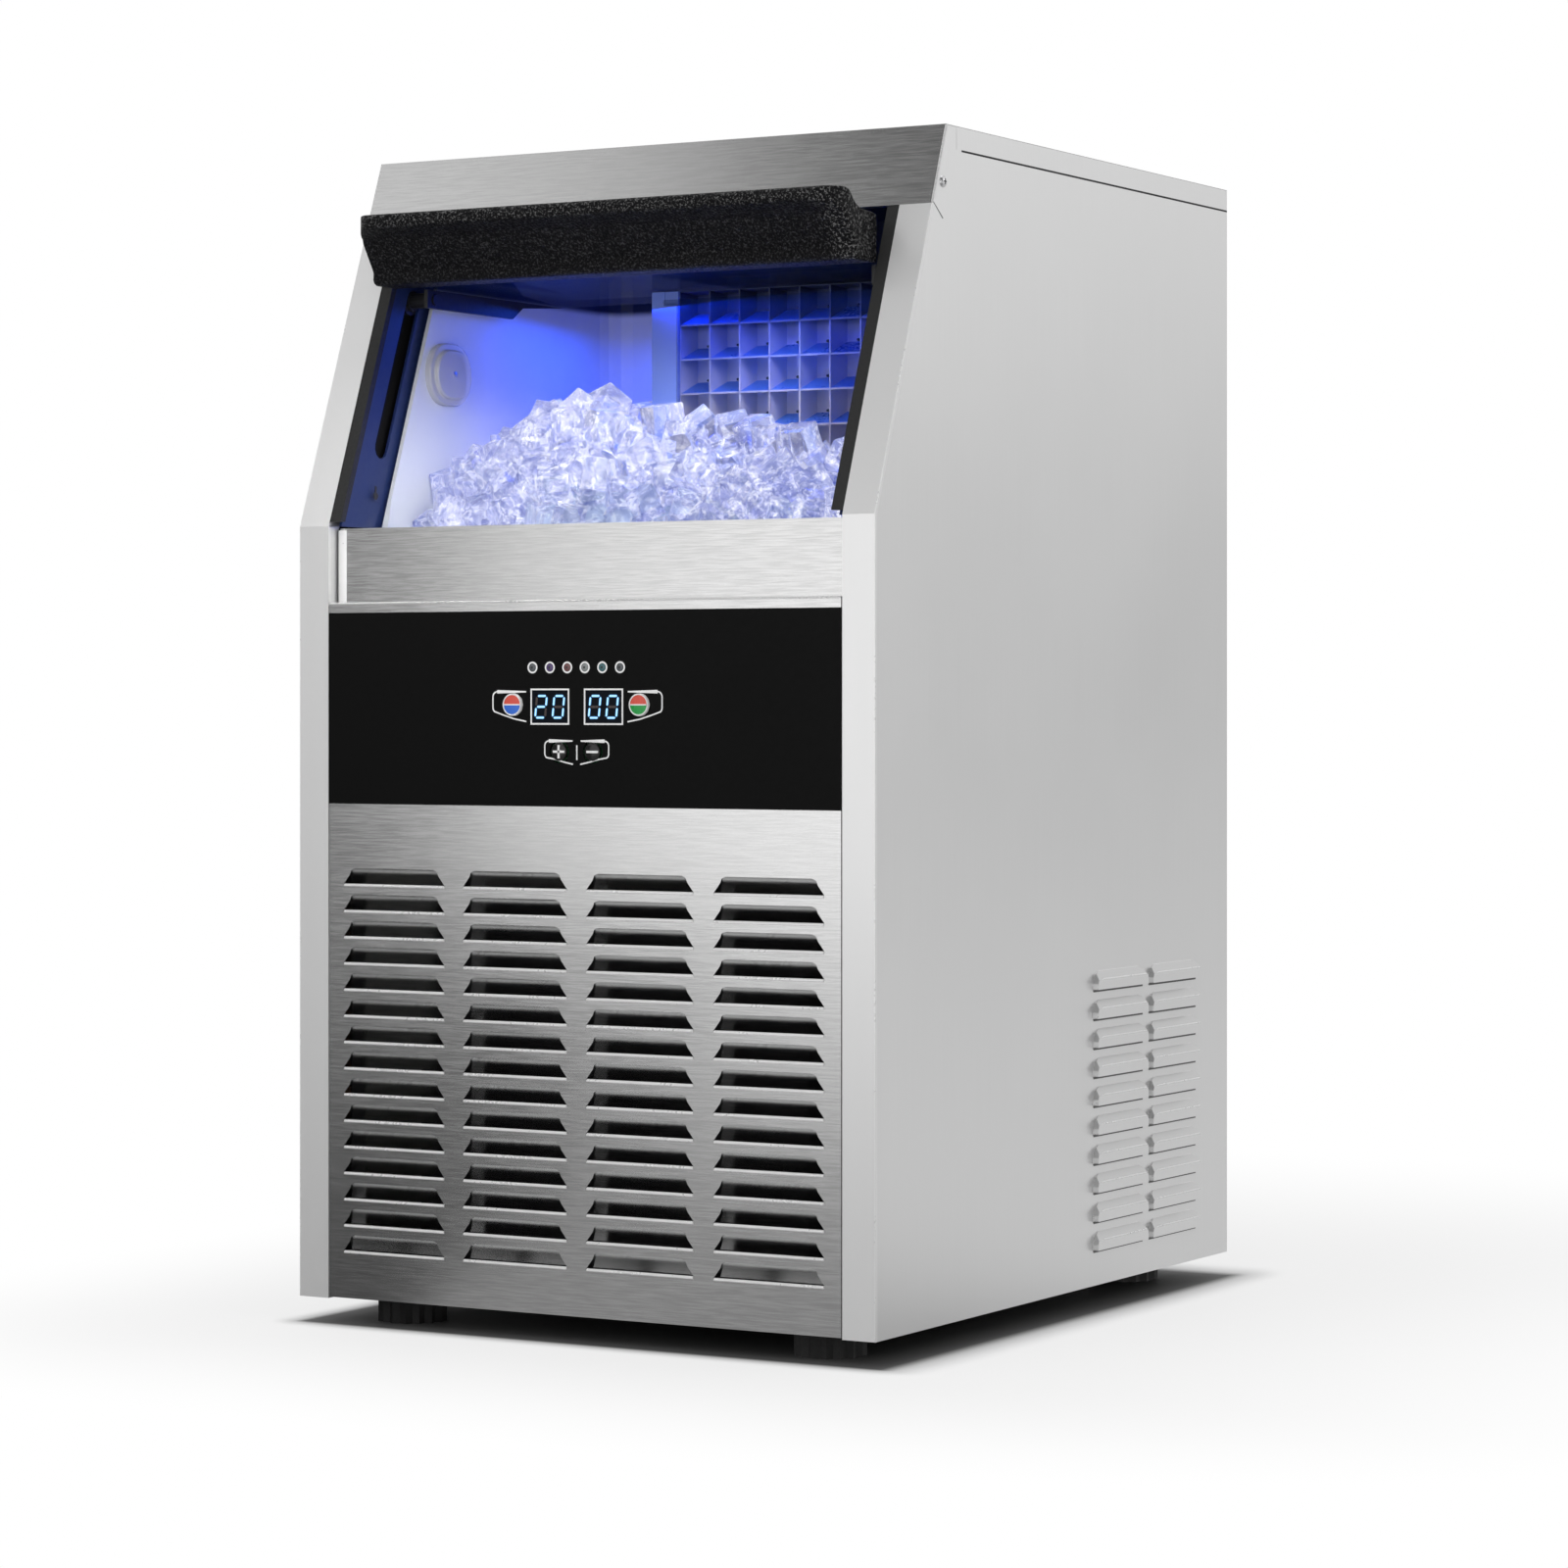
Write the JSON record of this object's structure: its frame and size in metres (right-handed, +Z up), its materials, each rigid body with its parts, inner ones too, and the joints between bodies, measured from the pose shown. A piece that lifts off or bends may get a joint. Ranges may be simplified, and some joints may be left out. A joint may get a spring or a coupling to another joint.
{
  "type": "under-counter ice maker",
  "caption": "Free-standing ice cube maker: stainless cabinet, slanted bin mouth with a stowing clear door, cell-mould evaporator, louvred front, refrigeration set and levelling feet.",
  "frame": {"origin": "middle of the machine's overall floor area, on the floor", "axes": "+X to the right seen from the front, +Y to the back, +Z up"},
  "size_m": [0.459, 0.563, 0.8042],
  "materials": {
    "brushed": "satin",
    "satin_steel": "satin",
    "galvanised": "satin",
    "black_facing": "satin",
    "black_plastic": "matte",
    "black_rubber": "matte",
    "white_plastic": "satin",
    "foam": "matte",
    "clear_plastic": "gloss",
    "ice": "gloss",
    "nickel": "satin",
    "copper": "satin",
    "fins": "satin",
    "motor_black": "satin",
    "display_glass": "gloss",
    "board_green": "matte",
    "red_blue": "satin",
    "red_green": "satin",
    "lamp_grey": "gloss",
    "jamb_blue": "satin",
    "grey_plastic": "matte"
  },
  "bodies": {
    "cabinet": {"side_panel_right": "satin_steel", "side_panel_left": "satin_steel", "base_pan": "galvanised", "rear_panel": "galvanised", "top_lid": "satin_steel", "top_fascia": "brushed", "lip_panel": "brushed", "lower_front_panel": "brushed", "control_panel": "black_facing", "control_board": "board_green", "display_left": "display_glass", "display_right": "display_glass", "lamp_1": "lamp_grey", "lamp_2": "lamp_grey", "lamp_3": "lamp_grey", "lamp_4": "lamp_grey", "lamp_5": "lamp_grey", "lamp_6": "lamp_grey", "bin_liner": "white_plastic", "bin_insulation": "foam", "ceiling_panel": "white_plastic", "jamb_right": "jamb_blue", "jamb_left": "jamb_blue", "gasket_right": "black_rubber", "gasket_left": "black_rubber", "light_lens": "clear_plastic", "evaporator_grid": "nickel", "evaporator_coil": "copper", "evaporator_frame": "white_plastic", "water_distributor": "white_plastic", "water_trough": "white_plastic", "water_pump": "black_plastic", "level_probe": "white_plastic", "ice_cubes": "ice", "condenser": "fins", "fan_shroud": "galvanised", "fan_motor": "motor_black", "compressor": "motor_black", "liquid_line": "copper", "suction_line": "copper", "discharge_line": "copper", "water_inlet_valve": "white_plastic", "drain_outlet": "grey_plastic", "power_inlet": "black_plastic"},
    "door_runners": {"door_runner_right": "black_plastic", "door_runner_left": "black_plastic"},
    "door": {"door_panel": "clear_plastic", "door_handle": "black_plastic", "door_flange_right": "black_plastic", "door_flange_left": "black_plastic"},
    "curtain": {"water_curtain": "clear_plastic"},
    "fan": {"fan_blade": "black_plastic"},
    "mode_key": {"mode_button": "red_blue"},
    "clean_key": {"clean_button": "red_green"},
    "plus_key": {"plus_button": "black_plastic"},
    "minus_key": {"minus_button": "black_plastic"},
    "front_left_foot": {"foot_front_left": "black_rubber"},
    "front_right_foot": {"foot_front_right": "black_rubber"},
    "rear_left_foot": {"foot_rear_left": "black_rubber"},
    "rear_right_foot": {"foot_rear_right": "black_rubber"}
  },
  "joints": [
    {"name": "door_slide", "type": "slide", "parent": "cabinet", "child": "door_runners", "axis": [0, -0.3512, -0.9363], "range_m": [0, 0.112]},
    {"name": "door_tilt", "type": "hinge", "parent": "door_runners", "child": "door", "pos_m": [0, -0.18517, 0.706], "axis": [1, 0, 0], "range_deg": [0, 69.5]},
    {"name": "curtain_swing", "type": "hinge", "parent": "cabinet", "child": "curtain", "pos_m": [0.0675, -0.1045, 0.704], "axis": [1, 0, 0], "range_deg": [-30, 0]},
    {"name": "fan_spin", "type": "hinge", "parent": "cabinet", "child": "fan", "pos_m": [0, -0.1945, 0.1625], "axis": [0, 1, 0], "continuous": true},
    {"name": "mode_press", "type": "slide", "parent": "cabinet", "child": "mode_key", "axis": [0, 1, 0], "range_m": [0, 0.0012], "stiffness_N_per_m": 900},
    {"name": "clean_press", "type": "slide", "parent": "cabinet", "child": "clean_key", "axis": [0, 1, 0], "range_m": [0, 0.0012], "stiffness_N_per_m": 900},
    {"name": "plus_press", "type": "slide", "parent": "cabinet", "child": "plus_key", "axis": [0, 1, 0], "range_m": [0, 0.0012], "stiffness_N_per_m": 900},
    {"name": "minus_press", "type": "slide", "parent": "cabinet", "child": "minus_key", "axis": [0, 1, 0], "range_m": [0, 0.0012], "stiffness_N_per_m": 900},
    {"name": "front_left_foot_turn", "type": "hinge", "parent": "cabinet", "child": "front_left_foot", "pos_m": [-0.165, -0.2295, 0.018], "axis": [0, 0, 1], "continuous": true},
    {"name": "front_right_foot_turn", "type": "hinge", "parent": "cabinet", "child": "front_right_foot", "pos_m": [0.165, -0.2295, 0.018], "axis": [0, 0, 1], "continuous": true},
    {"name": "rear_left_foot_turn", "type": "hinge", "parent": "cabinet", "child": "rear_left_foot", "pos_m": [-0.165, 0.2145, 0.018], "axis": [0, 0, 1], "continuous": true},
    {"name": "rear_right_foot_turn", "type": "hinge", "parent": "cabinet", "child": "rear_right_foot", "pos_m": [0.165, 0.2145, 0.018], "axis": [0, 0, 1], "continuous": true}
  ],
  "couplings": [
    {"joint": "door_tilt", "follows": "door_slide", "rad_per_m": 10.82}
  ]
}
